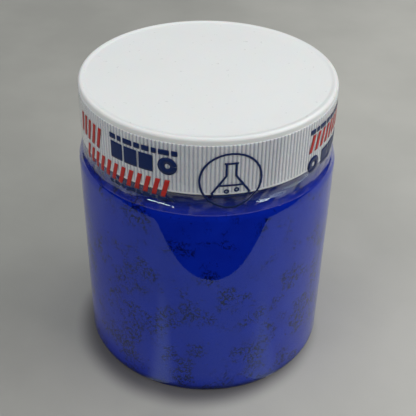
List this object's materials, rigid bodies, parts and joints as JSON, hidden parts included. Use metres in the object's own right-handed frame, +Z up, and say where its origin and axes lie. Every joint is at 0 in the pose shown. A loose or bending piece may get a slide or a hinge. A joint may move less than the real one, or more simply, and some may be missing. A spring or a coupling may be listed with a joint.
{
  "type": "screw-top jar",
  "caption": "Clear wide-mouth jar of blue pigment powder with a white ribbed screw cap, sealed round the cap and shoulder with clear printed tape.",
  "frame": {"origin": "centre of the foot ring, on the surface the jar stands on", "axes": "+Z up along the axis of the jar and its thread; -Y towards the front of the printed tape"},
  "size_m": [0.095, 0.095, 0.1133],
  "materials": {
    "clear_plastic": "clear, polished",
    "blue_powder": "fine matt powder",
    "white_plastic": "moulded, semi-gloss",
    "liner_foam": "matt foam",
    "tape_film": "clear glossy film with printed marks"
  },
  "bodies": {
    "jar": {"jar": "clear_plastic", "pigment_powder": "blue_powder", "seal_tape_on_jar": "tape_film"},
    "liner": {"cap_liner": "liner_foam"},
    "cap": {"cap": "white_plastic", "seal_tape_on_cap": "tape_film"}
  },
  "joints": [
    {"name": "cap_lift", "type": "slide", "parent": "jar", "child": "liner", "axis": [0, 0, 1], "range_m": [0, 0.02545]},
    {"name": "cap_turn", "type": "hinge", "parent": "liner", "child": "cap", "pos_m": [0, 0, 0.1], "axis": [0, 0, 1], "range_deg": [0, 1800]}
  ],
  "couplings": [
    {"joint": "cap_lift", "follows": "cap_turn", "m_per_rad": 0.00080851}
  ]
}
